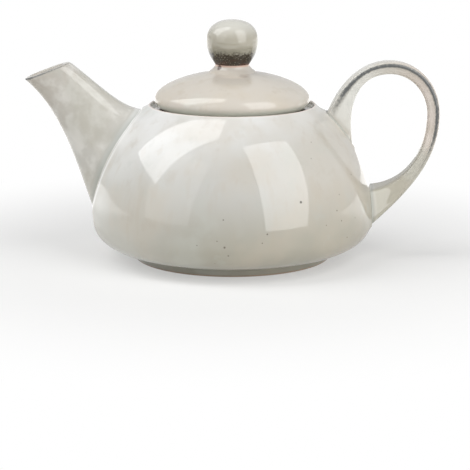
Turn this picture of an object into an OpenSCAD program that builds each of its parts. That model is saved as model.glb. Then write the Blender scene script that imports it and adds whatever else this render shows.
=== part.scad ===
// Stoneware teapot for one: a low domed body with a curved spout, a ring handle and
// a lid that rests in a shallow seat. Spout and handle are made apart and luted on to
// the body before firing. The lid is one piece with its knob and locating flange.
// Millimetres. The origin is the centre of the foot ring, on the surface it stands on.
// +Z is up, the spout points along -X and the handle along +X.

/* [Body] */
// Widest diameter of the pot
belly_d = 118.6; // [110:0.2:128]
// Height of the widest line
belly_z = 16; // [14:0.5:20]
// Height of the rim round the lid's seat
rim_z = 65.6; // [63:0.2:68]
// Fullness of the shoulder: 2 is an ellipse, more is squarer
shoulder_power = 2.05; // [1.9:0.05:2.3]
// Fullness of the turned-in base
base_power = 2.1; // [1.8:0.05:2.6]
// Thickness of the pot's wall
wall = 4; // [3:0.25:5]

/* [Foot ring] */
// Diameter over the foot ring
foot_d = 84; // [76:1:92]
// Height of the foot ring
foot_h = 3.8; // [3:0.2:5]
// Width of the ring's flat face
foot_face = 4.6; // [3.5:0.1:6]
// Depth of the hollow inside the ring
hollow_h = 2.8; // [1.5:0.1:3]

/* [Lid seat] */
// Diameter of the recess that the lid lies in
seat_d = 68.6; // [66:0.2:72]
// Depth of the recess
seat_depth = 2.4; // [2.2:0.1:3.2]
// Diameter of the opening inside the seat
opening_d = 57; // [54:0.5:60]

/* [Lid] */
// Gap between the lid's edge and the wall of the recess
lid_gap = 1.4; // [0.6:0.1:1.8]
// Height of the lid's widest line above the seat
lid_edge_h = 4.4; // [3.6:0.1:5]
// Height of the lid's dome above its widest line
lid_dome_h = 11.8; // [9:0.2:14]
// Fullness of the lid's dome
lid_power = 1.8; // [1.7:0.05:2.1]
// Thickness of the lid
lid_wall = 4; // [3:0.25:4.5]
// Gap between the locating flange and the opening
flange_gap = 0.7; // [0.4:0.1:1.2]
// Depth of the flange below the seat
flange_h = 8; // [5:0.5:12]
// Thickness of the flange
flange_t = 2.8; // [2:0.2:3.4]
// Diameter of the steam vent behind the knob
vent_d = 3; // [2:0.5:4]
// Distance of the vent from the axis
vent_at = 17; // [14:0.5:22]

/* [Knob] */
// Widest diameter of the knob
knob_d = 21.7; // [19:0.1:26]
// Height of the knob above its neck
knob_h = 18.6; // [16:0.2:22]
// Height of the knob's widest line above its neck
knob_belly_h = 9.8; // [8:0.2:12]
// Diameter of the neck
neck_d = 14.4; // [12:0.2:17]
// Height of the neck above the top of the dome
neck_h = 2.6; // [2:0.2:4]
// Diameter of the clay fillet where the neck meets the dome
collar_d = 19; // [18:0.2:24]

/* [Spout] */
// Distance of the pouring lip from the axis
spout_reach = 87.5; // [84:0.1:92]
// Height of the pouring lip
lip_z = 75.7; // [72:0.1:79]
// Length of the mouth
mouth_l = 20.6; // [18:0.2:23]
// Slope of the mouth, up towards the pot, in degrees
mouth_slope = 20.5; // [16:0.5:26]
// Width of the spout at the mouth
mouth_w = 14; // [12:0.5:16]
// Height where the spout's underside leaves the body
spout_low_z = 20.5; // [18:0.5:25]
// Height where the spout's top leaves the body
spout_high_z = 62.8; // [60:0.2:63]
// Width of the spout where it leaves the body
spout_root_w = 31; // [27:0.5:35]
// Thickness of the spout's wall
spout_wall = 3.2; // [2.5:0.1:3.6]
// Diameter of each strainer hole in the body's wall
strainer_d = 3.4; // [2.6:0.1:3.4]
// Distance between the strainer holes
strainer_pitch = 6.4; // [5.6:0.2:7]
// Height of the middle hole
strainer_z = 41; // [38:0.5:44]

/* [Handle] */
// Distance of the handle's outermost point from the axis
handle_reach = 87.5; // [84:0.1:92]
// Height of the handle's outermost point
handle_reach_z = 60.5; // [57:0.5:64]
// Height of the handle's top
handle_top_z = 83.4; // [80:0.2:88]
// Distance of the handle's top from the axis
handle_top_x = 66; // [63:0.5:69]
// Thickness of the handle's strap
strap_t = 5.6; // [5:0.1:7]
// Width of the strap's outer face
strap_w = 10.6; // [9:0.2:13]
// Width of the strap's inner face
strap_inner_w = 7; // [5:0.2:9]
// Height of the rim above the upper root's outer edge
handle_drop = 4.1; // [3.8:0.1:7]
// Height of the upper root
handle_high_l = 13.6; // [11:0.2:15]
// Height of the lower root's outer edge
handle_low_z = 15.2; // [14:0.2:18]
// Height of the lower root
handle_low_l = 14.4; // [13:0.2:17]
// How much the strap widens on each side at its upper root
high_flare = 0.7; // [0:0.1:3]
// How much it widens on each side at its lower root
low_flare = 5.4; // [2:0.2:7]

/* [Hidden] */
fine = 96;
belly_r = belly_d / 2;
foot_r = foot_d / 2;
seat_r = seat_d / 2;
opening_r = opening_d / 2;
seat_z = rim_z - seat_depth;
floor_z = foot_h + wall;
handle_high_z = rim_z - handle_drop;
// radius of the soft edges that the glaze leaves
soft = 1;
// the same on the rim round the lid's seat, and on the handle's outer and inner edges
rim_soft = 1.8;
strap_edge = 1.6;
strap_inner_edge = 2;

// The shoulder would close on the axis at this height above the belly.
shoulder_h = (rim_z - belly_z) / pow(1 - pow(seat_r / belly_r, shoulder_power), 1 / shoulder_power);
base_h = belly_z - foot_h;

// General curves

function unit(v) = v / norm(v);
function mix(a, b, t) = a + (b - a) * t;
// What an end's angle in degrees and pull in millimetres add to a curve's end point
function pull(end) = end[1] * [cos(end[0]), sin(end[0])];

// A corner at c, between a and b, rounded from a distance d on either side
function rounded(a, c, b, d, n = 4) =
    let(p = c + d * unit(a - c), q = c + d * unit(b - c))
    [for (i = [0:n]) let(t = i / n) pow(1 - t, 2) * p + 2 * t * (1 - t) * c + t * t * q];

// A point on a cubic curve from a to d that heads for b and comes in from c
function cubic(a, b, c, d, t) =
    pow(1 - t, 3) * a + 3 * t * pow(1 - t, 2) * b + 3 * t * t * (1 - t) * c + pow(t, 3) * d;

// Body outline

// Radius of the body's outside at a height
function body_r(z) = z >= belly_z
    ? belly_r * pow(1 - pow((z - belly_z) / shoulder_h, shoulder_power), 1 / shoulder_power)
    : foot_r + (belly_r - foot_r) * pow(1 - pow((belly_z - z) / base_h, base_power), 1 / base_power);

// A quarter of a full curve with half-axes a and b, at an angle from its widest line
function quarter(a, b, p, angle) = [a * pow(cos(angle), 2 / p), b * pow(sin(angle), 2 / p)];

// The outward normal there
function quarter_normal(a, b, p, angle) =
    unit([pow(cos(angle), 2 - 2 / p) / a, pow(sin(angle), 2 - 2 / p) / b]);

// Turned-in base from the foot ring up to the belly, moved inward by an inset
function base_curve(inset) = [for (angle = [90:-7.5:0])
    let(p = quarter(belly_r - foot_r, base_h, base_power, angle),
        n = quarter_normal(belly_r - foot_r, base_h, base_power, angle))
    [foot_r + p[0] - inset * n[0], belly_z - p[1] + inset * n[1]]];

// Shoulder from the belly up to the rim of the seat, moved inward by an inset
function shoulder_curve(inset) =
    let(last = asin(pow((rim_z - belly_z) / shoulder_h, shoulder_power / 2)), steps = 24)
    [for (i = [1:steps])
        let(angle = last * i / steps,
            p = quarter(belly_r, shoulder_h, shoulder_power, angle),
            n = quarter_normal(belly_r, shoulder_h, shoulder_power, angle))
        [p[0] - inset * n[0], belly_z + p[1] - inset * n[1]]];

// Outside of the pot, down into the lid's seat and under the foot ring
function pot_outline() =
    let(shoulder = shoulder_curve(0),
        below = shoulder[len(shoulder) - 2],
        inner_r = foot_r - foot_face - soft)
    concat(
        [[0, hollow_h], [inner_r - hollow_h, hollow_h]],
        rounded([inner_r - hollow_h, hollow_h], [inner_r, 0], [foot_r, 0], soft),
        rounded([inner_r, 0], [foot_r, 0], [foot_r, foot_h], soft),
        base_curve(0),
        [for (p = shoulder) if (p[0] > seat_r + rim_soft) p],
        rounded(below, [seat_r, rim_z], [seat_r, seat_z], rim_soft),
        [[seat_r, seat_z], [0, seat_z]]);

// Inside of the pot: an even wall, thickened under the seat
function cavity_outline() =
    let(ceiling = seat_z - wall)
    concat(
        [[0, floor_z]],
        base_curve(wall),
        [for (p = shoulder_curve(wall)) if (p[1] < ceiling) p],
        [[opening_r + soft, ceiling]],
        rounded([opening_r + soft, ceiling], [opening_r, ceiling], [opening_r, seat_z], soft / 2),
        [[opening_r, seat_z + soft], [0, seat_z + soft]]);

// Lofted pieces

// A closed solid through a row of rings that have the same number of points
module loft(rings) {
    count = len(rings[0]);
    last = len(rings) - 1;
    sides = [for (i = [0:last - 1], j = [0:count - 1])
        let(k = (j + 1) % count, a = i * count, b = a + count)
        each [[a + j, a + k, b + k], [a + j, b + k, b + j]]];
    first_cap = [for (j = [1:count - 2]) [0, j + 1, j]];
    last_cap = [for (j = [1:count - 2]) [last * count, last * count + j, last * count + j + 1]];
    polyhedron(points = [for (ring = rings) each ring], faces = concat(sides, first_cap, last_cap));
}

// Spout

// Where its underside and its top head at the body and at the mouth, as an angle in
// degrees and a pull in millimetres
under_start = [71, 23];
under_end = [36, 18];
top_start = [4, 9];
top_end = [38, 17];
// How soon the flare at its root dies away
spout_flare_power = 2.2;
// Its sections lie aslant, so an even wall measures this much more along them.
aslant = 1.15;
// Rings along the spout, and sides round its outside and its channel
spout_rings = 24;
channel_rings = 17;
spout_sides = 40;
channel_sides = 28;
hole_sides = 24;

lip = [spout_reach, lip_z];
throat = lip + mouth_l * [-cos(mouth_slope), sin(mouth_slope)];
spout_low = [body_r(spout_low_z), spout_low_z];
spout_high = [body_r(spout_high_z), spout_high_z];

// The spout's underside and its top, from the body to the mouth
function spout_under(t) =
    cubic(spout_low, spout_low + pull(under_start), lip - pull(under_end), lip, t);
function spout_top(t) =
    cubic(spout_high, spout_high + pull(top_start), throat - pull(top_end), throat, t);

// Width of the spout, which flares where it meets the body
function spout_w(t) = mix(mouth_w, spout_root_w, pow(max(1 - t, 0), spout_flare_power));

// An oval section at t, drawn in by a wall thickness
function spout_ring(t, inset, count) =
    let(low = spout_under(t),
        high = spout_top(t),
        middle = (low + high) / 2,
        reach = norm(high - low) / 2 - inset * aslant,
        along = unit(high - low),
        half_w = spout_w(t) / 2 - inset)
    [for (j = [0:count - 1])
        let(angle = 360 * j / count, p = middle + reach * cos(angle) * along)
        [-p[0], -half_w * sin(angle), p[1]]];

module spout_outside() {
    // the first ring lies inside the body
    loft([for (i = [-1:spout_rings]) spout_ring(i / spout_rings, 0, spout_sides)]);
}

module spout_channel() {
    // the last ring lies beyond the mouth
    loft([for (i = [0:channel_rings + 1])
        spout_ring(i / channel_rings, spout_wall, channel_sides)]);
}

// Strainer holes pierced through the body's wall behind the spout, square to the wall
module strainer() {
    lean = atan((body_r(strainer_z - 1) - body_r(strainer_z + 1)) / 2);
    translate([-body_r(strainer_z), 0, strainer_z])
        rotate([0, lean, 0])
            for (row = [-1:1], column = [-1:1])
                translate([-soft, column * strainer_pitch, row * strainer_pitch])
                    rotate([0, 90, 0])
                        cylinder(d = strainer_d, h = 3 * wall, $fn = hole_sides);
}

// Handle

// Where its outer line heads at the upper root, the top, the outermost point and the
// lower root, as an angle in degrees and a pull in millimetres
outer_start = [67, 10.3];
outer_into_top = [0, 13.5];
outer_from_top = [0, 13];
outer_into_side = [90, 12.5];
outer_from_side = [90, 20];
outer_end = [39, 18];
// The same for its inner line
inner_start = [99, 17.4];
inner_into_top = [0, 13.5];
inner_from_top = [0, 9.5];
inner_into_side = [90, 9];
inner_from_side = [90, 18];
inner_end = [5, 14];
// Rings along the strap
strap_rings = 42;

handle_high = [body_r(handle_high_z), handle_high_z];
handle_low = [body_r(handle_low_z), handle_low_z];
high_inner_z = handle_high_z - handle_high_l;
low_inner_z = handle_low_z + handle_low_l;
handle_high_inner = [body_r(high_inner_z), high_inner_z];
handle_low_inner = [body_r(low_inner_z), low_inner_z];
handle_top = [handle_top_x, handle_top_z];
handle_out = [handle_reach, handle_reach_z];

// The strap's outer line runs over the top and the outermost point, as three curves
function handle_outer(t) =
    t < 1 ? cubic(handle_high, handle_high + pull(outer_start),
                  handle_top - pull(outer_into_top), handle_top, t)
    : t < 2 ? cubic(handle_top, handle_top + pull(outer_from_top),
                    handle_out + pull(outer_into_side), handle_out, t - 1)
    : cubic(handle_out, handle_out - pull(outer_from_side),
            handle_low + pull(outer_end), handle_low, t - 2);

// Its inner line keeps the strap's thickness and spreads out at both roots
function handle_inner(t) =
    let(top = handle_top - [0, strap_t], out = handle_out - [strap_t, 0])
    t < 1 ? cubic(handle_high_inner, handle_high_inner + pull(inner_start),
                  top - pull(inner_into_top), top, t)
    : t < 2 ? cubic(top, top + pull(inner_from_top), out + pull(inner_into_side), out, t - 1)
    : cubic(out, out - pull(inner_from_side),
            handle_low_inner + pull(inner_end), handle_low_inner, t - 2);

// How much the strap is widened at t, from all of it at a root to none a third of the way on
function flare(t) = (t < 1.5 ? high_flare : low_flare) * pow(1 - min(max(t, 0), 3 - min(t, 3), 1), 3);

// A section of the strap: a flat outer face with soft edges, sides that slope inward
function handle_ring(t) =
    let(outer = handle_outer(t),
        inner = handle_inner(t),
        o = strap_w / 2 + flare(t),
        i = strap_inner_w / 2 + flare(t),
        thick = norm(inner - outer),
        across = unit(inner - outer),
        outline = concat(
            rounded([thick, -i], [0, -o], [0, o], strap_edge, 3),
            rounded([0, -o], [0, o], [thick, i], strap_edge, 3),
            rounded([0, o], [thick, i], [thick, -i], strap_inner_edge, 3),
            rounded([thick, i], [thick, -i], [0, -o], strap_inner_edge, 3)))
    [for (p = outline) let(at = outer + across * p[0]) [at[0], p[1], at[1]]];

module handle_strap() {
    // the first and last rings lie inside the body
    loft([for (i = [-1:strap_rings + 1]) handle_ring(3 * i / strap_rings)]);
}

// The pot's three pieces, which meet on the body's skin

module body_outside() {
    rotate_extrude($fn = fine) polygon(pot_outline());
}

module body() {
    color("#dcd8ce")
        difference() {
            body_outside();
            rotate_extrude($fn = fine) polygon(cavity_outline());
            strainer();
        }
}

module spout() {
    color("#dcd8ce")
        difference() {
            spout_outside();
            spout_channel();
            body_outside();
        }
}

module handle() {
    color("#dcd8ce")
        difference() {
            handle_strap();
            body_outside();
        }
}

// The lid

lid_r = seat_r - lid_gap;
lid_edge_z = seat_z + lid_edge_h;
// fullness of the knob's top
knob_power = 2.3;
// where the clay fillet under the knob leaves the dome, and where it comes into the neck
collar_start = [-1.6, 0.3];
collar_end = [-0.4, 1.4];
collar_steps = 6;
flange_r = opening_r - flange_gap;
// the lid's edge is well rounded below, down to where it lies on the seat
lid_soft = 0.9 * min(lid_edge_h, lid_r - flange_r);
neck_z = lid_edge_z + lid_dome_h + neck_h;
knob_belly_z = neck_z + knob_belly_h;
// The knob's lower half would close on the axis this far below its widest line.
knob_drop = knob_belly_h / sqrt(1 - pow(neck_d / knob_d, 2));

// Dome from the lid's edge to the foot of the knob
function lid_dome(inset) =
    [for (angle = [0:5:75])
        let(p = quarter(lid_r, lid_dome_h, lid_power, angle),
            n = quarter_normal(lid_r, lid_dome_h, lid_power, angle))
        [p[0] - inset * n[0], lid_edge_z + p[1] - inset * n[1]]];

// Ball of the knob, fuller at its top, from the neck to the axis
function knob_outline() =
    let(low = asin(knob_belly_h / knob_drop))
    concat(
        [for (i = [6:-1:1])
            let(angle = low * i / 6)
            [knob_d / 2 * cos(angle), knob_belly_z - knob_drop * sin(angle)]],
        [for (angle = [0:10:90])
            let(p = quarter(knob_d / 2, knob_h - knob_belly_h, knob_power, angle))
            [p[0], knob_belly_z + p[1]]]);

// Outside of the lid: dome, a clay fillet up to the neck, knob
function lid_outline() =
    let(dome = [for (p = lid_dome(0)) if (p[0] > collar_d / 2) p],
        last = dome[len(dome) - 1],
        neck = [neck_d / 2, neck_z])
    concat(
        dome,
        [for (i = [1:collar_steps - 1])
            cubic(last, last + collar_start, neck - collar_end, neck, i / collar_steps)],
        knob_outline());

module lid() {
    underside = concat(
        [[0, lid_edge_z + lid_dome_h - lid_wall]],
        [for (i = [15:-1:0]) let(p = lid_dome(lid_wall)[i]) if (p[0] < flange_r - flange_t - soft) p],
        [[flange_r - flange_t, seat_z]],
        rounded([flange_r - flange_t, seat_z], [flange_r - flange_t, seat_z - flange_h],
                [flange_r, seat_z - flange_h], soft),
        rounded([flange_r - flange_t, seat_z - flange_h], [flange_r, seat_z - flange_h],
                [flange_r, seat_z], soft),
        [[flange_r, seat_z]],
        rounded([flange_r, seat_z], [lid_r, seat_z], [lid_r, lid_edge_z], lid_soft));
    color("#d9d4c6")
        difference() {
            rotate_extrude($fn = fine) polygon(concat(underside, lid_outline()));
            translate([0, vent_at, lid_edge_z])
                cylinder(d = vent_d, h = 2 * lid_dome_h, $fn = hole_sides);
        }
}

body();
spout();
handle();
lid();
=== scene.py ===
import math

import bmesh
import bpy
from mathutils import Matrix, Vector


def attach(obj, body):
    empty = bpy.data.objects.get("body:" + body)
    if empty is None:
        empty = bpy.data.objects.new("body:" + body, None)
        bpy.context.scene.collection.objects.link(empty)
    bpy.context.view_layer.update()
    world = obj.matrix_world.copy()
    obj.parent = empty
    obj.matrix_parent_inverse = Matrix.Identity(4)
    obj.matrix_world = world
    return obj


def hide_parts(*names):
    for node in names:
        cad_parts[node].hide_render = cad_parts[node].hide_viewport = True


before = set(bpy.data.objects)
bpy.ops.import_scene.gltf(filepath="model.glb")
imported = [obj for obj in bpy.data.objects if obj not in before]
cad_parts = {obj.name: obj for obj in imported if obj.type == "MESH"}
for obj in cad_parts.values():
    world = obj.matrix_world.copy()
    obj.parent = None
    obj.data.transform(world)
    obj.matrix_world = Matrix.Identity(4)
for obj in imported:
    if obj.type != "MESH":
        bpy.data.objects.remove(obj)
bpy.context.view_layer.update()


# The body of the pot: a low dome of stoneware, thrown on the wheel as one hollow form.
# Its base turns in to a foot ring, its shoulder runs up to a soft lip, and inside the lip
# a shallow seat holds the lid. It is spun here from its section, as on the wheel.

# Sizes are in millimetres, radii from the pot's axis and heights from the table.
MM = 0.001
belly_r, belly_z = 59.3, 16.0
rim_r, rim_z = 34.3, 65.6
shoulder_power, base_power = 2.05, 2.1
foot_r, foot_h, hollow_h = 42.0, 3.8, 2.8
wall, floor_z = 4.0, 7.8
seat_z, opening_r = 63.2, 28.5
columns = 48

shoulder_h = (rim_z - belly_z) / (1 - (rim_r / belly_r) ** shoulder_power) ** (1 / shoulder_power)
base_h = belly_z - foot_h
# A subdivided ring of so many sides shrinks by this much, so its section starts wider.
cage = 3 / (2 + math.cos(math.tau / columns))


def body_r(z):
    """Radius of the body's outside at a height."""
    if z >= belly_z:
        share = min((z - belly_z) / shoulder_h, 1)
        return belly_r * (1 - share**shoulder_power) ** (1 / shoulder_power)
    share = min((belly_z - z) / base_h, 1)
    return foot_r + (belly_r - foot_r) * (1 - share**base_power) ** (1 / base_power)


def body_lean(z):
    """How much the body's radius grows with each millimetre of height."""
    step = 0.05
    return (body_r(z + step) - body_r(z - step)) / (2 * step)


def inside_point(z):
    """The point of the body's inner wall square to its outside at a height."""
    lean = body_lean(z)
    length = math.hypot(1, lean)
    return body_r(z) - wall / length, z + lean * wall / length


def only(*pieces):
    """Selects these pieces and nothing else, with the first one active."""
    bpy.ops.object.select_all(action="DESELECT")
    for piece in pieces:
        piece.select_set(True)
    bpy.context.view_layer.objects.active = pieces[0]


def turned(name, section, steps):
    """A form thrown on the wheel: its section is drawn from the axis on, then spun round."""
    bpy.ops.object.select_all(action="DESELECT")
    bpy.ops.mesh.primitive_plane_add(size=MM)
    piece = bpy.context.object
    piece.name = name
    bpy.ops.object.mode_set(mode="EDIT")
    bpy.ops.mesh.merge(type="CENTER")
    first_r, first_z = section[0]
    bpy.ops.transform.translate(value=(first_r * cage * MM, 0, first_z * MM))
    for (r, z), (next_r, next_z) in zip(section, section[1:]):
        step = ((next_r - r) * cage * MM, 0, (next_z - z) * MM)
        bpy.ops.mesh.extrude_region_move(TRANSFORM_OT_translate={"value": step})
    bpy.ops.mesh.select_all(action="SELECT")
    bpy.ops.mesh.spin(steps=steps, angle=math.tau, center=(0, 0, 0), axis=(0, 0, 1))
    bpy.ops.mesh.select_all(action="SELECT")
    bpy.ops.mesh.remove_doubles(threshold=0.01 * MM)
    bpy.ops.mesh.normals_make_consistent(inside=False)
    bpy.ops.object.mode_set(mode="OBJECT")
    return piece


# The section, as radius and height: from the hollow in the base out over the foot ring, up
# the outside, over the lip, in along the lid's seat, and down the inner wall to the floor.
base_rows = [4.7, 6.5, 8.7, 10.9, 12.8, 14.5]
shoulder_rows = [
    belly_z, 19.8, 23.6, 27.4, 31.1, 34.8, 38.4, 41.9,
    45.4, 48.8, 52.0, 55.1, 58.0, 60.7, 62.7, 64.2,
]
foot = [
    (0, hollow_h), (12, hollow_h), (24, hollow_h), (31, hollow_h), (33.6, hollow_h),
    (35.2, 1.7), (36.6, 0.4), (37.4, 0), (38.6, 0), (40.2, 0), (41.2, 0), (41.9, 0.5),
    (foot_r, 1.4), (foot_r, 2.6), (42.1, 3.6), (44.4, 3.95),
]
skin = [(body_r(z), z) for z in base_rows + shoulder_rows]
lip = [
    (35.1, 65.05), (34.5, 65.05), (rim_r, 64.4), (rim_r, 63.7), (34.1, seat_z),
    (33.3, seat_z), (31.5, seat_z), (29.6, seat_z), (28.8, seat_z),
    (opening_r, 62.8), (opening_r, 61.4), (28.6, 59.9), (29.2, 59.3), (30.4, 59.2),
]
inner_rows = [59.4, 55.5, 50.5, 45, 39, 33, 27, 21.5, 17, 13.2, 10.2, 7.6]
inner_wall = [inside_point(z) for z in inner_rows]
inner_floor = [(r, floor_z) for r in (38, 28, 18, 9, 0)]
pot = turned("pot_glazed", foot + skin + lip + inner_wall + inner_floor, columns)


# Where the spout and the handle are luted on, the body's skin opens into their roots. Slip
# is squeezed out along the join and smoothed with a wet finger into a low welt with a crease
# beside it, so the skin round each hole is laid out to follow the root's outline.

# The welt's height in millimetres, and where across it its crest comes. Its crease and the
# point above that come at these shares of its width up the root.
welt_h, crest_share = 0.75, 0.5
crease_share, above_share = 0.16, 0.55
welt_points = 4
# No welt reaches further than this along the line that it is laid beside.
welt_end = 0.6


def radius(p):
    """How far a point is from the pot's axis."""
    return math.hypot(p.x, p.y)


def skin_normal(p):
    """The way that the body's skin faces at a point."""
    return Vector((p.x / radius(p), p.y / radius(p), -body_lean(p.z))).normalized()


def on_skin(p, scale=1):
    """The point moved straight out from the axis or in towards it, on to the body's skin."""
    share = scale * body_r(p.z) / radius(p)
    return Vector((p.x * share, p.y * share, p.z))


def mix(a, b, share):
    """The value or the point so far on the way from a to b."""
    return a + (b - a) * share


def turning_point(near, far, short):
    """Where short(t) stops being true on the way from near to far, found by halving it."""
    for _ in range(36):
        middle = (near + far) / 2
        if short(middle):
            near = middle
        else:
            far = middle
    return far


def meets_skin(line, search):
    """Where along a line, a function of t, it comes out of the body's skin, looked for from
    inside the skin to outside it."""
    return turning_point(*search, lambda t: radius(line(t)) < body_r(line(t).z))


def welt(line, middle, search, size):
    """The points of the join's welt beside a line of the root, from the skin over its crest
    to its crease and up the root, and where on the line they end."""
    t = meets_skin(line, search)
    root = line(t)
    normal = skin_normal(root)
    away = root - middle(t)
    away = (away - normal * away.dot(normal)).normalized()
    toe = on_skin(root + away * size, cage)
    crest = root + away * size * crest_share + normal * welt_h
    end = turning_point(t, t + welt_end, lambda at: (line(at) - root).length < size)
    top = line(end)
    return [toe, crest, mix(root, top, crease_share), mix(root, top, above_share)], end


def open_skin(azimuth, half_width, low, high):
    """Cuts a window in the body's skin, between two of its rows and so many columns wide."""
    only(pot)
    bpy.ops.object.mode_set(mode="EDIT")
    bpy.ops.mesh.select_all(action="DESELECT")
    bpy.ops.object.mode_set(mode="OBJECT")
    reach = (half_width + 0.1) * math.tau / columns
    for face in pot.data.polygons:
        at = face.center / MM
        turn = math.remainder(math.atan2(at.y, at.x) - azimuth, math.tau)
        outside = radius(at) > body_r(at.z) - wall / 2
        face.select = abs(turn) < reach and low < at.z < high and outside
    bpy.ops.object.mode_set(mode="EDIT")
    bpy.ops.mesh.delete(type="FACE")
    bpy.ops.object.mode_set(mode="OBJECT")


def lay_on(ring):
    """Moves the rim of the window nearest a ring on to that ring's points, in order, and
    eases the skin round it."""
    shape = bmesh.new()
    shape.from_mesh(pot.data)
    count = len(ring)
    rim = [v for v in shape.verts if v.is_boundary]
    path = [min(rim, key=lambda v: (v.co / MM - ring[0]).length)]
    while len(path) < count:
        sides = [e.other_vert(path[-1]) for e in path[-1].link_edges if e.is_boundary]
        path.append(next(v for v in sides if v not in path))
    tries = [
        [path[(start + way * i) % count] for i in range(count)]
        for start in range(count) for way in (1, -1)
    ]
    best = min(tries, key=lambda order: sum((v.co / MM - p).length for v, p in zip(order, ring)))
    for v, p in zip(best, ring):
        v.co = p * MM
    near = set(best)
    for _ in range(3):
        near.update(v for held in list(near) for face in held.link_faces for v in face.verts)
    lowest, highest = base_rows[0] * MM, (shoulder_rows[-1] - 0.3) * MM
    eased = []
    for v in near:
        outside = radius(v.co / MM) > body_r(v.co.z / MM) - wall / 2
        if outside and lowest < v.co.z < highest and not v.is_boundary:
            eased.append(v)
    for _ in range(12):
        bmesh.ops.smooth_vert(
            shape, verts=eased, factor=0.5,
            use_axis_x=True, use_axis_y=True, use_axis_z=True,
        )
        for v in eased:
            v.co = on_skin(v.co / MM, cage) * MM
    shape.to_mesh(pot.data)
    shape.free()


# The spout: a tapered, curved tube of clay, made apart and luted on while leather-hard, so
# it flares into the body. Its mouth is cut on a slant, with a lip rounded by a wet sponge.
# It is laid out here as one sheet: the outside, over the lip, and back down the channel.


def pull(angle, length):
    """The step that an end's direction and pull add to a curve's end point."""
    return Vector((math.cos(math.radians(angle)), math.sin(math.radians(angle)))) * length


def cubic(a, b, c, d, t):
    """The point at t along the curve that runs from a to d and is pulled at by b and c."""
    u = 1 - t
    return a * u**3 + b * 3 * t * u * u + c * 3 * t * t * u + d * t**3


spout_lip = Vector((87.5, 75.7))
mouth_l, mouth_slope, mouth_w = 20.6, 20.5, 14.0
spout_throat = spout_lip + pull(180 - mouth_slope, mouth_l)
spout_low, spout_high = [Vector((body_r(z), z)) for z in (20.5, 62.8)]
# How the lower and the upper curve leave the body and come to the mouth.
low_leaves, low_comes = pull(71, 23), pull(36, 18)
high_leaves, high_comes = pull(4, 9), pull(38, 17)
spout_root_w, spout_flare, spout_power = 31.0, 2.2, 2.3
# Its sections lie aslant, so an even wall measures this much more along them.
spout_wall, aslant = 3.2, 1.15
spout_welt, spout_welt_swing = 2.3, 0.6
root_search, channel_search = (-0.02, 0.5), (-0.02, 0.6)
spout_half_columns, window_rows = 3, len(shoulder_rows) - 1


def spout_point(t, angle, inset=0, raised=0):
    """A point of the spout at t along it, at an angle round it from its upper edge, so deep
    below its skin and moved so far along the tube."""
    low = cubic(spout_low, spout_low + low_leaves, spout_lip - low_comes, spout_lip, t)
    high = cubic(spout_high, spout_high + high_leaves, spout_throat - high_comes, spout_throat, t)
    half_w = mix(mouth_w, spout_root_w, max(1 - t, 0) ** spout_flare) / 2 - inset
    up = (high - low).normalized()
    reach = (high - low).length / 2 - inset * aslant
    # its section is an oval with slightly flat sides
    c, s = math.cos(angle), math.sin(angle)
    c = math.copysign(abs(c) ** (2 / spout_power), c)
    s = math.copysign(abs(s) ** (2 / spout_power), s)
    at = (low + high) / 2 + up * reach * c + Vector((up.y, -up.x)) * raised
    return Vector((-at.x, half_w * s, at.y))


def sheet(name, across, rows, worn, pooled_shade_sheen):
    """A sheet of clay, closed round: a grid whose points are laid out row by row. worn says
    where the glaze breaks and the clay's iron shows. The last argument says where glaze ran together
    in a crease, with painted shade there too, and, below nought, where a painted highlight lies."""
    bpy.ops.object.select_all(action="DESELECT")
    bpy.ops.mesh.primitive_grid_add(x_subdivisions=across, y_subdivisions=len(rows) - 1, size=2)
    piece = bpy.context.object
    piece.name = name
    iron = piece.data.attributes.new("iron", "FLOAT", "POINT")
    pool_shade_sheen = piece.data.attributes.new("pool_shade_sheen", "FLOAT", "POINT")
    for v in piece.data.vertices:
        i = round((v.co.x + 1) / 2 * across) % across
        j = round((v.co.y + 1) / 2 * (len(rows) - 1))
        v.co = rows[j][i] * MM
        iron.data[v.index].value = worn(i, j)
        pool_shade_sheen.data[v.index].value = pooled_shade_sheen(i, j)
    return piece


# The window's rim has a point for each column of its top and its foot, and for each row
# of its two sides.
around = 4 * spout_half_columns + 2 * window_rows
turns = [math.tau * i / around for i in range(around)]
root, starts = [], []
for angle in turns:
    # the welt is narrow over the top of the root and a little broader below
    bend, start = welt(
        lambda t: spout_point(t, angle),
        lambda t: spout_point(t, 0) / 2 + spout_point(t, math.pi) / 2,
        root_search, spout_welt - spout_welt_swing * math.cos(angle),
    )
    root.append(bend)
    starts.append(start)
channel_starts = [
    meets_skin(lambda t: spout_point(t, angle, spout_wall), channel_search) for angle in turns
]
# The outside and the channel end a little short of the mouth, where the lip rounds over.
mouth_edge, channel_edge = 0.982, 0.965
spout_rings = [[bend[k] for bend in root] for k in range(welt_points)]
for share in (0, 0.09, 0.19, 0.3, 0.41, 0.52, 0.63, 0.74, 0.84, 0.93, 1):
    along = [mix(start, mouth_edge, share) for start in starts]
    spout_rings.append([spout_point(t, angle) for t, angle in zip(along, turns)])
first_lip_row = len(spout_rings)
for inset, raised in ((0.15, -0.25), (0.9, 0.1), (2.2, 0.1), (3.0, -0.3)):
    spout_rings.append([spout_point(1, angle, inset, raised) for angle in turns])
for share in (1, 0.9, 0.78, 0.65, 0.52, 0.39, 0.26, 0.13, 0):
    along = [mix(start, channel_edge, share) for start in channel_starts]
    spout_rings.append([spout_point(t, angle, spout_wall) for t, angle in zip(along, turns)])
# The channel ends on the wall, which closes it, and is pierced once the pot is one skin.
channel_foot = spout_rings[-1]
heart = sum(channel_foot, Vector()) / around
for share in (0.94, 0.6, 0.25, 0):
    spout_rings.append([on_skin(mix(heart, p, share)) for p in channel_foot])


def lip_wear(i, j):
    """Iron shows along the lip, most at the pouring corner and a little down the outside."""
    along = {-1: 0.35, 0: 1.0, 1: 0.45, 2: 0.1, 3: 0.2}.get(j - first_lip_row, 0)
    return along * (0.8 - 0.2 * math.cos(turns[i]))


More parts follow.
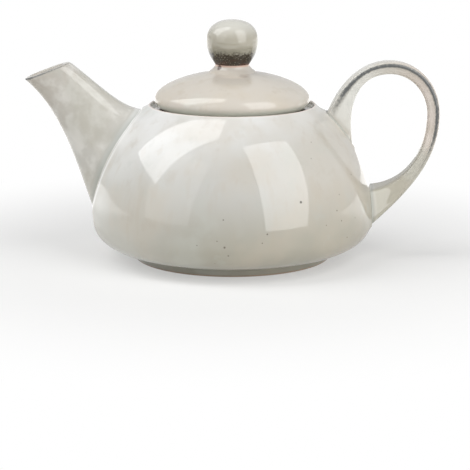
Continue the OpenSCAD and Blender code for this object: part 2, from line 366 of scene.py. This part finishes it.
def root_pool_shade_sheen(i, j):
    """Grey-green in the crease round the spout's root, most along its sides: partly glaze that
    ran together there, partly painted shade. Below nought it is a painted white highlight along the
    welt's crest."""
    depth = {0: -0.2, 1: -1.0, 2: -0.2, 3: 1.0, 4: 0.75, 5: 0.3}.get(j, 0)
    return depth * (0.45 + 0.55 * abs(math.sin(turns[i])))


spout = sheet("spout", around, spout_rings, lip_wear, root_pool_shade_sheen)
open_skin(math.pi, spout_half_columns, belly_z, shoulder_rows[-1])
lay_on(spout_rings[0])


# The handle: a strap pulled from a roll of clay, curved into a ring and luted on at both
# ends, where it spreads out. Its outer face is flat with soft edges, its sides slope in.

handle_high, handle_low = [Vector((body_r(z), z)) for z in (61.5, 15.2)]
handle_high_inner, handle_low_inner = [Vector((body_r(z), z)) for z in (47.9, 29.6)]
handle_top, handle_out = Vector((66.0, 83.4)), Vector((87.5, 60.5))
strap_t, strap_w, strap_inner_w = 5.6, 10.6, 7.0
high_flare, low_flare = 0.7, 5.4
high_welt, low_welt, strap_welt_swing = 1.7, 2.0, 0.4
strap_points, strap_steps, strap_search = 20, 34, (-0.3, 0.5)
# Each root takes the place of two columns to either side, between two rows of the skin.
strap_half_columns, high_window, low_window = 2, (45.4, 62.7), (12.8, 31.1)
# The strap's outer line and its inner line run over the top and the outermost point, as
# three curves. The inner one keeps the strap's thickness and spreads at both roots.
outer_curves = [
    (handle_high, handle_high + pull(67, 10.3), handle_top - pull(0, 13.5), handle_top),
    (handle_top, handle_top + pull(0, 13), handle_out + pull(90, 12.5), handle_out),
    (handle_out, handle_out - pull(90, 20), handle_low + pull(39, 18), handle_low),
]
inner_top, inner_out = handle_top - Vector((0, strap_t)), handle_out - Vector((strap_t, 0))
inner_curves = [
    (handle_high_inner, handle_high_inner + pull(99, 17.4), inner_top - pull(0, 13.5), inner_top),
    (inner_top, inner_top + pull(0, 9.5), inner_out + pull(90, 9), inner_out),
    (inner_out, inner_out - pull(90, 18), handle_low_inner + pull(5, 14), handle_low_inner),
]


def strap_line(curves, t):
    """The point at t along a line of three curves, of which each takes up one of t."""
    curve = min(max(math.floor(t), 0), 2)
    return cubic(*curves[curve], t - curve)


def handle_ring(t):
    """The strap's section at t: twenty points from the middle of its outer face round."""
    outer, inner = strap_line(outer_curves, t), strap_line(inner_curves, t)
    to_root = min(max(t, 0), 3 - min(t, 3), 1)
    spread = (high_flare if t < 1.5 else low_flare) * (1 - to_root) ** 3
    thick = (inner - outer).length
    into = (inner - outer).normalized()
    wide, narrow = strap_w / 2 + spread, strap_inner_w / 2 + spread
    # depth below the outer face and distance from the middle, down one side of the strap
    half = [
        (0, 0), (0.06, wide * 0.45), (0.2, wide - 1.5), (0.75, wide - 0.35),
        (1.9, wide - 0.02), (thick * 0.5, (wide + narrow) / 2 + 0.1),
        (thick - 2.0, narrow + 0.55), (thick - 0.6, narrow + 0.05),
        (thick - 0.05, narrow - 1.1), (thick, narrow * 0.4), (thick, 0),
    ]
    outline = half + [(depth, -y) for depth, y in half[-2:0:-1]]
    return [Vector(((outer + into * depth).x, y, (outer + into * depth).y)) for depth, y in outline]


def strap_root(ring, size):
    """The welt round one end of the strap, and where on each of its lines it ends."""
    bends, ends = [], []
    for j in range(strap_points):
        bend, end = welt(
            lambda t: ring(t)[j],
            lambda t: sum(ring(t), Vector()) / strap_points,
            strap_search, size - strap_welt_swing * math.cos(math.tau * j / strap_points),
        )
        bends.append(bend)
        ends.append(end)
    return bends, ends


high_root, high_starts = strap_root(handle_ring, high_welt)
low_root, low_starts = strap_root(lambda t: handle_ring(3 - t), low_welt)
strap_rows = [[bend[k] for bend in high_root] for k in range(welt_points)]
for k in range(strap_steps + 1):
    along = [mix(high, 3 - low, k / strap_steps) for high, low in zip(high_starts, low_starts)]
    strap_rows.append([handle_ring(t)[j] for j, t in enumerate(along)])
strap_rows += [[bend[k] for bend in low_root] for k in reversed(range(welt_points))]


def strap_wear(i, j):
    """Iron shows along the strap's outer edges, most over the top and down the far side."""
    share = (j - welt_points) / strap_steps
    edge = {3: 0.7, 4: 0.85, 5: 0.28}.get(min(i, strap_points - i), 0)
    along = max(0, min(1, 0.6 + share / 0.3, (1 - share) / 0.3))
    return edge * along


def strap_pool_and_shade(i, j):
    """Grey-green in the creases at both ends of the strap: partly glaze that ran together, partly
    painted shade.
    """
    return {2: 0.8, 3: 0.9, 4: 0.3}.get(min(j, len(strap_rows) - 1 - j), 0)


handle = sheet("handle", strap_points, strap_rows, strap_wear, strap_pool_and_shade)
open_skin(0, strap_half_columns, *high_window)
lay_on(strap_rows[0])
open_skin(0, strap_half_columns, *low_window)
lay_on(strap_rows[-1])


# The pot is one fired piece, so body, spout and handle are joined into one skin, which is
# smoothed, laid back on to the thrown shape, and smoothed again.

only(pot, spout, handle)
bpy.ops.object.join()
bpy.ops.object.mode_set(mode="EDIT")
bpy.ops.mesh.select_all(action="SELECT")
bpy.ops.mesh.remove_doubles(threshold=0.02 * MM)
bpy.ops.mesh.normals_make_consistent(inside=False)
bpy.ops.object.mode_set(mode="OBJECT")


def smoothed(piece, level):
    """Rounds a piece over by subdividing it so many times."""
    only(piece)
    modifier = piece.modifiers.new("glaze_smooth", "SUBSURF")
    modifier.levels = modifier.render_levels = level
    bpy.ops.object.modifier_apply(modifier=modifier.name)


# a point counts as thrown where it lies this near the skin as it was spun
near_skin = 0.05
thrown = pot.vertex_groups.new(name="thrown")
lowest, highest = base_rows[0] - 0.1, shoulder_rows[-1] + 0.1
for v in pot.data.vertices:
    p = v.co / MM
    if lowest < p.z < highest and abs(radius(p) - body_r(p.z) * cage) < near_skin:
        thrown.add([v.index], 1, "REPLACE")
smoothed(pot, 1)
for v in pot.data.vertices:
    held = next((g.weight for g in v.groups if g.group == thrown.index), 0)
    if held > 0.5:
        p = v.co / MM
        v.co = mix(p, on_skin(p), held) * MM
smoothed(pot, 1)


# The strainer: before the spout goes on, the wall behind it is pierced with nine holes, in
# three rows of three, square to the clay. Each is drilled here with a cylinder.

strainer_d, strainer_pitch, strainer_z = 3.4, 6.4, 41.0


def pierced(piece, holes):
    """Pierces round holes, each from its start along its way, so wide and so long in mm."""
    bpy.ops.object.select_all(action="DESELECT")
    drills = []
    for start, way, width, length in holes:
        turn = way.to_track_quat("Z", "Y").to_euler()
        bpy.ops.mesh.primitive_cylinder_add(
            vertices=32, radius=width / 2 * MM, depth=length * MM,
            location=(start + way * length / 2) * MM, rotation=turn,
        )
        drills.append(bpy.context.object)
    only(*drills)
    bpy.ops.object.join()
    drill = bpy.context.object
    only(piece)
    modifier = piece.modifiers.new("pierced", "BOOLEAN")
    modifier.object = drill
    modifier.operation = "DIFFERENCE"
    modifier.solver = "MANIFOLD"
    bpy.ops.object.modifier_apply(modifier=modifier.name)
    # the drill leaves an empty slot behind, where the glaze belongs
    piece.data.materials.clear()
    only(drill)
    bpy.ops.object.delete()
    only(piece)
    bpy.ops.object.shade_smooth_by_angle(angle=math.radians(50))


slope = math.atan(-body_lean(strainer_z))
inward = Vector((math.cos(slope), 0, -math.sin(slope)))
upward = Vector((math.sin(slope), 0, math.cos(slope)))
sideways = Vector((0, 1, 0))
# the drills start a millimetre outside the skin
middle_hole = Vector((-body_r(strainer_z), 0, strainer_z)) - inward
strainer = []
for row in (-1, 0, 1):
    for column in (-1, 0, 1):
        start = middle_hole + (upward * row + sideways * column) * strainer_pitch
        strainer.append((start, inward, strainer_d, 3 * wall))
pierced(pot, strainer)


# The pot's glaze: a glassy tin-white stoneware glaze over iron-bearing clay, dipped. It is
# painted near white high up and on the left and darker low down: partly the glaze's own tone,
# partly painted light where the soft box and the white card fall, and painted shade towards the
# bottom. On the right it turns beige. Over sharp edges it breaks, and the iron shows through as
# a blue-grey line.


def linear(code):
    """A colour as the shader takes it, from its sRGB hex value."""
    parts = [int(code[i : i + 2], 16) / 255 for i in (1, 3, 5)]
    return tuple(c / 12.92 if c <= 0.04045 else ((c + 0.055) / 1.055) ** 2.4 for c in parts) + (1,)


def add(tree, kind, inputs, **settings):
    """A shader node with its settings, each input set to a value or linked to a node."""
    node = tree.nodes.new("ShaderNode" + kind)
    for name, value in settings.items():
        setattr(node, name, value)
    for key, value in inputs.items():
        if isinstance(value, bpy.types.Node):
            value = value.outputs[0]
        if isinstance(value, bpy.types.NodeSocket):
            tree.links.new(value, node.inputs[key])
        else:
            node.inputs[key].default_value = value
    return node


def new_finish(name):
    """A new material, its tree of nodes, and the place of each point of its piece."""
    finish = bpy.data.materials.new(name)
    finish.use_nodes = True
    tree = finish.node_tree
    return finish, tree, add(tree, "TexCoord", {}).outputs["Object"]


def from_axis(tree, place):
    """How far each point is from the pot's axis."""
    flat_place = add(tree, "VectorMath", {0: place, 1: (1, 1, 0)}, operation="MULTIPLY")
    return add(tree, "VectorMath", {0: flat_place}, operation="LENGTH").outputs["Value"]


def from_ring(tree, section, r, height):
    """How far each point of the section is from a ring of a radius at a height."""
    ring = (r * MM, height * MM, 0)
    return add(tree, "VectorMath", {0: section, 1: ring}, operation="DISTANCE").outputs["Value"]


def glazed(tree, tone, layers):
    """Lays glaze colours over a tone. Each row is what the layer reads, where it starts and
    where it is full, the most that it covers, and its colour."""
    for reading, start, full, most, code in layers:
        reach = {0: reading, 1: start, 2: full, 4: most}
        share = add(tree, "MapRange", reach, interpolation_type="SMOOTHSTEP")
        tone = add(tree, "Mix", {0: share, 6: tone, 7: linear(code)}, data_type="RGBA").outputs[2]
    return tone


def marked(tree, place, tone, marks):
    """Specks of iron that came up through the glaze. Each row is a speck's place and radius
    in millimetres, the most that it covers, and its colour."""
    for x, y, z, size, most, code in marks:
        gap = add(tree, "VectorMath", {0: place, 1: (x * MM, y * MM, z * MM)}, operation="DISTANCE")
        speck = (gap.outputs["Value"], size * MM, size * 0.4 * MM, most, code)
        tone = glazed(tree, tone, [speck])
    return tone


def fired(tree, place, tone):
    """Gives the glaze its colour, a glassy gloss, and the faint waves that it sets with."""
    shader = tree.nodes["Principled BSDF"]
    tree.links.new(tone, shader.inputs["Base Color"])
    shader.inputs["Roughness"].default_value = 0.05
    shader.inputs["IOR"].default_value = 1.55
    # slow waves every 26 mm from the throwing, and a fine skin every 4 mm from the firing
    swell = add(tree, "TexNoise", {"Vector": place, "Scale": 1 / (26 * MM), "Detail": 1})
    wave = add(tree, "Bump", {"Height": swell, "Distance": 0.07 * MM, "Strength": 1})
    peel = add(tree, "TexNoise", {"Vector": place, "Scale": 1 / (4 * MM), "Detail": 1})
    fine = {"Height": peel, "Distance": 0.004 * MM, "Strength": 1, "Normal": wave}
    skin = add(tree, "Bump", fine)
    tree.links.new(skin.outputs[0], shader.inputs["Normal"])


finish, tree, place = new_finish("stoneware_glaze_pot")
at = add(tree, "SeparateXYZ", {0: place})
x, z = at.outputs[0], at.outputs[2]
out = from_axis(tree, place)
section = add(tree, "CombineXYZ", {0: out, 1: z})
# how high and how far left a point is: the glaze is painted paler there, partly its own tone and
# partly painted light from the soft box and the white card
thick = add(tree, "Math", {0: x, 1: -0.22, 2: z}, operation="MULTIPLY_ADD")
# it drifts over 30 mm, clouds over 10 mm, and ran down in streaks 4.5 mm wide
drift = add(tree, "TexNoise", {"Vector": place, "Scale": 1 / (30 * MM), "Detail": 3})
clouding = {"Vector": place, "Scale": 1 / (10 * MM), "Detail": 3, "Roughness": 0.6}
cloud = add(tree, "TexNoise", clouding)
runs = add(tree, "VectorMath", {0: place, 1: (1, 1, 0.16)}, operation="MULTIPLY")
streak = add(tree, "TexNoise", {"Vector": runs, "Scale": 1 / (4.5 * MM), "Detail": 2})
# The thrown skin is where these two powers add up to one, and past that come the spout on
# the left and the handle on the right.
wide = add(tree, "Math", {0: out, 1: belly_r * MM}, operation="DIVIDE")
wide = add(tree, "Math", {0: wide, 1: shoulder_power}, operation="POWER")
high = add(tree, "MapRange", {0: z, 1: belly_z * MM, 2: (belly_z + shoulder_h) * MM})
high = add(tree, "Math", {0: high, 1: shoulder_power}, operation="POWER")
beyond = add(tree, "Math", {0: wide, 1: high}, operation="ADD")
beyond = add(tree, "MapRange", {0: beyond, 1: 1.03, 2: 1.12}, interpolation_type="SMOOTHSTEP")
on_left = add(tree, "Math", {0: x, 1: 0}, operation="LESS_THAN")
on_spout = add(tree, "Math", {0: beyond, 1: on_left}, operation="MULTIPLY")
on_handle = add(tree, "Math", {0: beyond, 1: on_spout}, operation="SUBTRACT")
low_down = add(tree, "MapRange", {0: z, 1: 56 * MM, 2: 36 * MM}, interpolation_type="SMOOTHSTEP")
strap_foot = add(tree, "Math", {0: on_handle, 1: low_down}, operation="MULTIPLY")
pale = add(tree, "Math", {0: cloud, 1: on_spout}, operation="MULTIPLY")
dull = add(tree, "Math", {0: drift, 1: on_spout}, operation="MULTIPLY")
pool_shade_sheen = add(tree, "Attribute", {}, attribute_name="pool_shade_sheen").outputs["Fac"]
tone = glazed(tree, linear("#C6C5C0"), [
    (x, 6 * MM, 36 * MM, 0.6, "#CCC5B8"),
    # darker towards the bottom: partly the glaze's olive tone, partly painted shade
    (z, 44 * MM, 12 * MM, 1, "#ABA799"),
    # paler to the left and near white high on the left: partly the glaze's tone, partly painted light
    # from the soft box and the white card
    (x, -12 * MM, -45 * MM, 0.5, "#D6D6D0"),
    (thick, 44 * MM, 68 * MM, 1, "#E6E6E4"),
    (on_spout, 0, 1, 0.85, "#C3C0B7"),
    (x, -58 * MM, -84 * MM, 0.8, "#B8B0A4"),
    (on_handle, 0, 1, 0.85, "#DDDCD5"),
    (x, 60 * MM, 78 * MM, 0.8, "#DDD0C7"),
    (strap_foot, 0, 1, 0.75, "#A8A491"),
    (drift, 0.48, 0.66, 0.35, "#C4BAA9"),
    (drift, 0.46, 0.32, 0.35, "#C4C7BF"),
    (cloud, 0.54, 0.74, 0.25, "#B9AFA0"),
    (cloud, 0.44, 0.26, 0.25, "#BCC0B8"),
    (streak, 0.56, 0.72, 0.12, "#B8A891"),
    (pale, 0.42, 0.66, 0.65, "#E2E0DA"),
    (dull, 0.5, 0.6, 0.3, "#AEAEA1"),
    # grey-green in the creases at the roots, partly pooled glaze and partly painted shade; below
    # nought a painted white highlight along the spout's welt
    (pool_shade_sheen, 0.25, 1, 0.7, "#A3A79E"),
    (pool_shade_sheen, -0.15, -0.8, 0.85, "#EFEFEC"),
])
# faint small dots come up here and there, in one cell of about eight, 6.5 mm apart
cells = add(tree, "TexVoronoi", {"Vector": place, "Scale": 1 / (6.5 * MM)})
chosen = add(tree, "SeparateColor", {0: cells.outputs["Color"]})
few = add(tree, "MapRange", {0: chosen, 1: 0.84, 2: 0.9})
near = add(tree, "MapRange", {0: cells.outputs["Distance"], 1: 0.06, 2: 0.035})
dots = add(tree, "Math", {0: few, 1: near}, operation="MULTIPLY")
tone = glazed(tree, tone, [(dots, 0, 1, 0.45, "#7F7262")])
# the dark specks of the front: how far right, how high, how big and how strong
front_specks = [
    (27.5, 33.0, 0.75, 0.95), (57.0, 29.5, 0.6, 0.8), (-3.5, 27.5, 0.45, 0.6),
    (14.0, 21.5, 0.5, 0.7), (12.0, 18.0, 0.4, 0.6), (-3.0, 16.5, 0.6, 0.7),
    (-1.5, 13.0, 0.5, 0.6), (-6.0, 19.0, 0.35, 0.6), (-14.0, 17.0, 0.4, 0.5),
    (42.5, 27.5, 0.5, 0.6), (44.5, 23.0, 0.45, 0.6), (50.5, 22.5, 0.4, 0.5),
    (38.0, 22.5, 0.4, 0.5), (47.0, 15.5, 0.45, 0.6), (43.5, 33.5, 0.4, 0.5),
    (49.0, 39.5, 0.45, 0.5), (-52.0, 20.5, 0.4, 0.6),
]
tone = marked(tree, place, tone, [
    (right, -math.sqrt(body_r(up) ** 2 - right * right), up, size, most, "#4A4238")
    for right, up, size, most in front_specks
])
# the line where the glaze broke is pale at its sides, dark in its middle, and ragged
worn = add(tree, "Attribute", {}, attribute_name="iron").outputs["Fac"]
grit = add(tree, "TexNoise", {"Vector": place, "Scale": 1 / (1.3 * MM), "Detail": 3})
ragged = add(tree, "Math", {0: grit, 1: 0.4, 2: -0.2}, operation="MULTIPLY_ADD")
held = add(tree, "MapRange", {0: worn, 1: 0.3, 2: 0.6})
broken = add(tree, "Math", {0: ragged, 1: held, 2: worn}, operation="MULTIPLY_ADD")
# The seat for the lid is wiped bare, and its dark brown is also painted shade in the gap under the
# lid's edge. The lip's inner wall is painted near white, painted light over the shade of that narrow
# gap. The lip's crest shows a warm line of clay, and the foot ring stands on bare clay.
tone = glazed(tree, tone, [
    (broken, 0.36, 0.62, 0.7, "#9A978E"),
    (broken, 0.54, 0.8, 0.9, "#4C5052"),
    # the bare seat, dark brown: partly bare clay, partly painted shade under the lid's edge
    (from_ring(tree, section, 30, 63), 2.2 * MM, 1.3 * MM, 0.9, "#6A5A4B"),
    # painted light: near white on the lip's inner wall, against the shade of the gap round the lid
    (from_ring(tree, section, 34, 64.6), 1.7 * MM, 1.1 * MM, 0.7, "#EFEBE6"),
    (from_ring(tree, section, 34.7, 65.5), 1.0 * MM, 0.3 * MM, 0.6, "#D8AE97"),
    (z, 1.2 * MM, 0.5 * MM, 1, "#B49C84"),
])
fired(tree, place, tone)
pot.data.materials.append(finish)
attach(pot, "root")
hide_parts("body", "spout", "handle")


# The lid: thrown upside down as a shallow dome, with a flange that hangs in the opening,
# then turned over and given its ball knob on a short neck. A vent is pierced through it.

lid_r, lid_edge_z, lid_dome_h, lid_power = 32.9, 67.6, 11.8, 1.8
lid_wall, under_r = 4.0, 23.6
flange_r, flange_low_z = 27.8, 55.2
knob_r, knob_z, knob_top_h, knob_power = 10.85, 91.8, 8.8, 2.3
neck_r, neck_z = 7.2, 82.0
vent_d, vent_y = 3.0, 17
# The knob's lower half is an ellipse that meets the neck at the neck's own radius.
knob_drop = (knob_z - neck_z) / math.sqrt(1 - (neck_r / knob_r) ** 2)
knob_low = math.asin((knob_z - neck_z) / knob_drop)


def dome_point(angle, inset=0):
    """A point of the lid's dome at an angle up from its edge, and a depth below its skin."""
    c, s = math.cos(math.radians(angle)), math.sin(math.radians(angle))
    r, z = lid_r * c ** (2 / lid_power), lid_dome_h * s ** (2 / lid_power)
    out, up = c ** (2 - 2 / lid_power) / lid_r, s ** (2 - 2 / lid_power) / lid_dome_h
    length = math.hypot(out, up)
    return r - inset * out / length, lid_edge_z + z - inset * up / length


# The section, as radius and height: from the top of the knob down its neck, over the collar
# and the dome to the edge, in along the rest, down and up the flange, and in underneath.
knob = [(0, knob_z + knob_top_h)]
for angle in (78, 66, 54, 42, 30, 18, 8):
    c, s = math.cos(math.radians(angle)), math.sin(math.radians(angle))
    knob.append((knob_r * c ** (2 / knob_power), knob_z + knob_top_h * s ** (2 / knob_power)))
for k in range(6):
    angle = knob_low * k / 5
    knob.append((knob_r * math.cos(angle), knob_z - knob_drop * math.sin(angle)))
collar = [(7.3, 81.2), (7.8, 80.4), (8.7, 79.6), (9.8, 79.0)]
dome = [dome_point(angle) for angle in (70, 64, 57, 50, 43, 36, 29, 22, 15, 8)]
edge = [
    (lid_r, lid_edge_z), (32.8, 66.7), (32.4, 65.8), (31.7, 64.9), (30.8, 64.0),
    (29.9, 63.4), (29.0, seat_z), (28.2, seat_z),
]
flange = [
    (flange_r, 62.8), (flange_r, 61), (flange_r, 58.6), (flange_r, 56.5), (27.6, 55.5),
    (27, flange_low_z), (25.8, flange_low_z), (25.2, 55.5), (25, 56.4), (25, 58.8),
    (25, 61.4), (25, 63.2), (24.3, 65.4),
]
under = [dome_point(angle, lid_wall) for angle in range(10, 90, 7)]
under = [p for p in under if p[0] < under_r] + [(0, lid_edge_z + lid_dome_h - lid_wall)]
lid = turned("lid_glazed", knob + collar + dome + edge + flange + under, columns)
smoothed(lid, 2)
upright = Vector((0, 0, 1))
pierced(lid, [(Vector((0, vent_y, lid_edge_z)), upright, vent_d, 2 * lid_dome_h)])

# The lid's glaze is the pot's with more beige in it. It pooled celadon at the edge and white
# on the collar, and under the knob it ran thin over bare clay, which fired dark brown.
finish, tree, place = new_finish("stoneware_glaze_lid")
z = add(tree, "SeparateXYZ", {0: place}).outputs[2]
section = add(tree, "CombineXYZ", {0: from_axis(tree, place), 1: z})
drift = add(tree, "TexNoise", {"Vector": place, "Scale": 1 / (20 * MM), "Detail": 3})
clouding = {"Vector": place, "Scale": 1 / (6 * MM), "Detail": 3, "Roughness": 0.6}
cloud = add(tree, "TexNoise", clouding)
grit = add(tree, "TexNoise", {"Vector": place, "Scale": 1 / (1.1 * MM), "Detail": 3})
rings = add(tree, "VectorMath", {0: place, 1: (1, 1, 4)}, operation="MULTIPLY")
band = add(tree, "TexNoise", {"Vector": rings, "Scale": 1 / (9 * MM), "Detail": 2})
# heights that grit and bands make uneven, for the edges of the iron under the knob
ragged = add(tree, "Math", {0: grit, 1: -5 * MM, 2: z}, operation="MULTIPLY_ADD")
clouded = add(tree, "Math", {0: band, 1: -9 * MM, 2: z}, operation="MULTIPLY_ADD")
on_knob = add(tree, "Math", {0: z, 1: neck_z * MM}, operation="GREATER_THAN")
bands = []
for height, start, full in ((ragged, 86.4, 82.4), (clouded, 88.0, 81.0), (clouded, 79.6, 77.4)):
    reach = {0: height, 1: start * MM, 2: full * MM}
    share = add(tree, "MapRange", reach, interpolation_type="SMOOTHSTEP")
    bands.append(add(tree, "Math", {0: share, 1: on_knob}, operation="MULTIPLY"))
iron, olive, warm = bands
# pale crumbs of glaze, 0.9 mm apart, lie in the iron
grains = add(tree, "TexVoronoi", {"Vector": place, "Scale": 1 / (0.9 * MM)})
crumb = add(tree, "MapRange", {0: grains.outputs["Distance"], 1: 0.3, 2: 0.18})
crumb = add(tree, "Math", {0: crumb, 1: iron}, operation="MULTIPLY")
# the last of the layers is the bare clay on which the lid rests, dark brown: partly bare clay, partly
# painted shade in the gap over the seat
tone = glazed(tree, linear("#D0C9BE"), [
    (drift, 0.48, 0.66, 0.5, "#CFC5B4"),
    (drift, 0.46, 0.32, 0.4, "#D0D0C7"),
    (cloud, 0.52, 0.7, 0.25, "#B9AC96"),
    (z, 67.4 * MM, 65.4 * MM, 0.9, "#CDCFC4"),
    (z, 79.3 * MM, 80.6 * MM, 1, "#CBC4BA"),
    (z, 80.9 * MM, 81.7 * MM, 0.6, "#CF9F88"),
    (z, 81.9 * MM, 83 * MM, 1, "#B1AC9D"),
    # painted highlight: the knob's top is painted paler
    (z, 93 * MM, 99 * MM, 0.8, "#D6D5CD"),
    (olive, 0, 1, 0.75, "#77735F"),
    (iron, 0, 0.9, 1, "#342C20"),
    (warm, 0, 1, 0.65, "#52291A"),
    (crumb, 0, 1, 0.45, "#A39D89"),
    # bare clay under the lid's edge, dark brown: partly bare clay, partly painted shade
    (from_ring(tree, section, 30, 62.9), 1.6 * MM, 0.9 * MM, 0.9, "#5F5042"),
])
tone = marked(tree, place, tone, [
    (-5.4, -5.3, 81.0, 1.5, 0.95, "#4F332C"),
    (4.6, -11.5, 78.7, 2.6, 0.35, "#94897F"),
    (-13, -17, 76.6, 0.5, 0.5, "#6E6355"),
    (19, -14, 75.5, 0.45, 0.5, "#6E6355"),
    (-24, -12, 72.5, 0.5, 0.5, "#6E6355"),
    (8, -27, 71.3, 0.4, 0.4, "#6E6355"),
])
fired(tree, place, tone)
lid.data.materials.append(finish)
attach(lid, "root")
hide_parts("lid")


# The studio: a wide sheet of white paper, a tall soft box that leans over the pot from the
# left, a strip of light at its front right, and a white card that fills its left side.

bpy.ops.object.select_all(action="DESELECT")
bpy.ops.mesh.primitive_plane_add(size=8)
ground = bpy.context.object
ground.name = "floor"


def shown(tree):
    """Whether a ray is one of gloss, and whether it shows a background: seen by the camera,
    in gloss or through glass."""
    path = add(tree, "LightPath", {})
    seen, gloss = path.outputs["Is Camera Ray"], path.outputs["Is Glossy Ray"]
    show = add(tree, "Math", {0: seen, 1: gloss}, operation="MAXIMUM")
    show = add(tree, "Math", {0: show, 1: path.outputs["Is Transmission Ray"]}, operation="MAXIMUM")
    return gloss, show


# Matt white background paper: near the pot it is lit by the lamps and keeps the pot's
# shadow, and further out it fades into plain white for every ray that shows a background.
paper, tree, place = new_finish("matt_white_paper")
fibres = tree.nodes["Principled BSDF"]
fibres.inputs["Base Color"].default_value = linear("#F0F0EF")
fibres.inputs["Roughness"].default_value = 0.9
fibres.inputs["Specular IOR Level"].default_value = 0.2
gloss, show = shown(tree)
far = add(tree, "VectorMath", {0: place}, operation="LENGTH").outputs["Value"]
fading = {0: far, 1: 0.08, 2: 0.2, 3: 0.4, 4: 1}
fade = add(tree, "MapRange", fading, interpolation_type="SMOOTHSTEP")
fade = add(tree, "Math", {0: fade, 1: show}, operation="MULTIPLY")
# in gloss the paper behind the pot is brighter than white, as the lit room is there
depth = add(tree, "SeparateXYZ", {0: place}).outputs[1]
glow = {0: depth, 1: 0.02, 2: 0.15, 4: 0.8}
strength = add(tree, "MapRange", glow, interpolation_type="SMOOTHSTEP")
strength = add(tree, "Math", {0: strength, 1: gloss, 2: 1}, operation="MULTIPLY_ADD")
white = add(tree, "Emission", {"Color": (1, 1, 1, 1), "Strength": strength})
mixed = add(tree, "MixShader", {0: fade, 1: fibres, 2: white})
tree.links.new(mixed.outputs[0], tree.nodes["Material Output"].inputs[0])
ground.data.materials.append(paper)


def lamp(name, size, size_y, place, towards, strength):
    """A flat soft light of so many metres, which shines from its place towards a point."""
    bpy.ops.object.select_all(action="DESELECT")
    bpy.ops.object.light_add(type="AREA", location=place)
    light = bpy.context.object
    light.name = name
    light.data.shape = "RECTANGLE"
    light.data.size = size
    light.data.size_y = size_y
    # an area light gives each square metre this radiance
    light.data.energy = strength * math.pi * size * size_y
    light.rotation_euler = (Vector(towards) - Vector(place)).to_track_quat("-Z", "Y").to_euler()


lamp("soft_box", 0.525, 1.34, place=(-0.44, -0.089, 1.0), towards=(0.065, -0.234, 0.766), strength=3.0)
lamp("strip", 0.60, 1.14, place=(0.53, -0.465, 0.40), towards=(0.05, 0.296, -0.108), strength=2.75)
lamp("white_card", 0.9, 1.1, place=(-0.85, -0.6, 0.56), towards=(0, 0, 0.1), strength=0.95)

# The white room round the lamps. It shows as white, and it lights the pot with a seventh of
# what white would give.
room_light = 0.145
world = bpy.data.worlds.new("studio")
bpy.context.scene.world = world
world.use_nodes = True
tree = world.node_tree
sky = tree.nodes["Background"]
sky.inputs["Color"].default_value = (1, 1, 1, 1)
gloss, show = shown(tree)
strength = add(tree, "MapRange", {0: show, 3: room_light, 4: 1})
# behind the pot the room is dimmer, so edges that face up don't melt into the white ground
way = add(tree, "SeparateXYZ", {0: add(tree, "TexCoord", {}).outputs["Generated"]})
dimmer = {0: way.outputs[1], 1: 0.6, 2: 0.9, 4: -0.18}
behind = add(tree, "MapRange", dimmer, interpolation_type="SMOOTHSTEP")
behind = add(tree, "Math", {0: behind, 1: gloss, 2: strength}, operation="MULTIPLY_ADD")
tree.links.new(behind.outputs[0], sky.inputs["Strength"])

# The camera stands in front of the pot and a little above it, and looks down by this much.
camera_pitch = 12.54
bpy.ops.object.camera_add(
    location=(0.00115, -0.8012, 0.18669), rotation=(math.radians(90 - camera_pitch), 0, 0),
)
camera = bpy.context.object
camera.data.lens = 147.2
camera.data.sensor_width = 36
bpy.context.scene.camera = camera
bpy.context.scene.view_settings.view_transform = "Standard"
